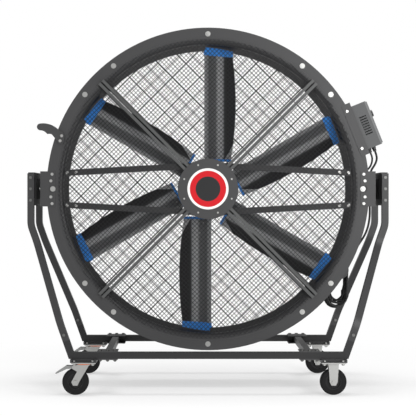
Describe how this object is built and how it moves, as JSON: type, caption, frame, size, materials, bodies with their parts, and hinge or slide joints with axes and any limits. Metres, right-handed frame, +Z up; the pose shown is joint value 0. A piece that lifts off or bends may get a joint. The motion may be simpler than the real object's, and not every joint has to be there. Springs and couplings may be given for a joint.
{
  "type": "industrial floor fan",
  "caption": "Large drum floor fan on a wheeled square-tube stand; the guarded head tilts between its uprights, with a side control box and a coiled power cord.",
  "frame": {"origin": "on the floor under the middle of the stand", "axes": "+Z up, -Y towards the front guard, +X towards the control box"},
  "size_m": [2.106, 0.97, 2.1099],
  "materials": {
    "frame_paint": "charcoal powder coat, satin",
    "shroud_paint": "charcoal powder coat, satin",
    "guard_wire": "charcoal powder coat on welded wire",
    "friction_lining": "dark friction lining",
    "zinc": "bright zinc plate",
    "seal_orange": "orange swivel seal",
    "pedal_plastic": "grey coated pressed steel",
    "tyre_rubber": "dark solid rubber",
    "core_plastic": "grey moulded wheel core",
    "motor_metal": "dark coated housing",
    "blade_metal": "dark anodised extrusion",
    "cap_blue": "blue moulded cap",
    "box_plastic": "grey moulded case",
    "cover_plastic": "light grey moulded cover",
    "knob_plastic": "black moulded plastic",
    "cord_rubber": "black rubber cord"
  },
  "bodies": {
    "stand": {"front_left_leg": "frame_paint", "front_right_leg": "frame_paint", "rear_left_leg": "frame_paint", "rear_right_leg": "frame_paint", "front_base_frame": "frame_paint", "rear_base_frame": "frame_paint", "left_cross_brace": "frame_paint", "right_cross_brace": "frame_paint", "left_pivot_plate": "frame_paint", "right_pivot_plate": "frame_paint", "friction_pads": "friction_lining", "pivot_bolts": "zinc", "stand_bolts": "zinc", "caster_pads": "frame_paint", "caster_bolts": "zinc", "swivel_plates": "zinc", "swivel_seals": "seal_orange", "fixed_forks": "zinc", "fixed_axles": "zinc"},
    "fan_head": {"drum_shell": "shroud_paint", "front_flange": "shroud_paint", "rear_flange": "shroud_paint", "guard_rims": "guard_wire", "front_guard": "guard_wire", "rear_guard": "guard_wire", "hub_covers": "shroud_paint", "left_pivot_bracket": "shroud_paint", "right_pivot_bracket": "shroud_paint", "motor_arms": "shroud_paint", "motor_stator": "motor_metal", "tilt_handle": "shroud_paint", "head_bolts": "zinc", "control_bracket": "shroud_paint", "control_box": "box_plastic", "control_cover": "cover_plastic", "cable_glands": "knob_plastic", "motor_cable": "cord_rubber", "power_cord_lead": "cord_rubber", "power_cord_coil": "cord_rubber", "power_plug": "cord_rubber", "cord_hook": "shroud_paint"},
    "rotor": {"rotor_hub": "motor_metal", "fan_blades": "blade_metal", "blade_caps": "cap_blue", "blade_bolts": "zinc"},
    "speed_knob": {"speed_knob": "knob_plastic"},
    "front_left_swivel": {"front_left_fork": "zinc", "front_left_axle": "zinc"},
    "front_left_pedal": {"front_left_brake_pedal": "pedal_plastic"},
    "front_left_wheel": {"front_left_tyre": "tyre_rubber", "front_left_wheel_core": "core_plastic"},
    "front_right_wheel": {"front_right_tyre": "tyre_rubber", "front_right_wheel_core": "core_plastic"},
    "rear_left_swivel": {"rear_left_fork": "zinc", "rear_left_axle": "zinc"},
    "rear_left_pedal": {"rear_left_brake_pedal": "pedal_plastic"},
    "rear_left_wheel": {"rear_left_tyre": "tyre_rubber", "rear_left_wheel_core": "core_plastic"},
    "rear_right_wheel": {"rear_right_tyre": "tyre_rubber", "rear_right_wheel_core": "core_plastic"}
  },
  "joints": [
    {"name": "head_tilt", "type": "hinge", "parent": "stand", "child": "fan_head", "pos_m": [0, 0, 1.165], "axis": [1, 0, 0], "range_deg": [-90, 90]},
    {"name": "rotor_spin", "type": "hinge", "parent": "fan_head", "child": "rotor", "pos_m": [0, 0, 1.165], "axis": [0, 1, 0], "continuous": true},
    {"name": "knob_turn", "type": "hinge", "parent": "fan_head", "child": "speed_knob", "pos_m": [0.9588, -0.101, 1.6084], "axis": [0.9278, 0, 0.373], "range_deg": [0, 270]},
    {"name": "front_left_swivel_turn", "type": "hinge", "parent": "stand", "child": "front_left_swivel", "pos_m": [-0.704, -0.43, 0.17], "axis": [0, 0, 1], "continuous": true},
    {"name": "front_left_pedal_press", "type": "hinge", "parent": "front_left_swivel", "child": "front_left_pedal", "pos_m": [-0.76, -0.43, 0.158], "axis": [0, -1, 0], "range_deg": [0, 10]},
    {"name": "front_left_wheel_roll", "type": "hinge", "parent": "front_left_swivel", "child": "front_left_wheel", "pos_m": [-0.751, -0.43, 0.075], "axis": [0, 1, 0], "continuous": true},
    {"name": "front_right_wheel_roll", "type": "hinge", "parent": "stand", "child": "front_right_wheel", "pos_m": [0.704, -0.43, 0.075], "axis": [0, 1, 0], "continuous": true},
    {"name": "rear_left_swivel_turn", "type": "hinge", "parent": "stand", "child": "rear_left_swivel", "pos_m": [-0.704, 0.43, 0.17], "axis": [0, 0, 1], "continuous": true},
    {"name": "rear_left_pedal_press", "type": "hinge", "parent": "rear_left_swivel", "child": "rear_left_pedal", "pos_m": [-0.76, 0.43, 0.158], "axis": [0, -1, 0], "range_deg": [0, 10]},
    {"name": "rear_left_wheel_roll", "type": "hinge", "parent": "rear_left_swivel", "child": "rear_left_wheel", "pos_m": [-0.751, 0.43, 0.075], "axis": [0, 1, 0], "continuous": true},
    {"name": "rear_right_wheel_roll", "type": "hinge", "parent": "stand", "child": "rear_right_wheel", "pos_m": [0.704, 0.43, 0.075], "axis": [0, 1, 0], "continuous": true}
  ]
}
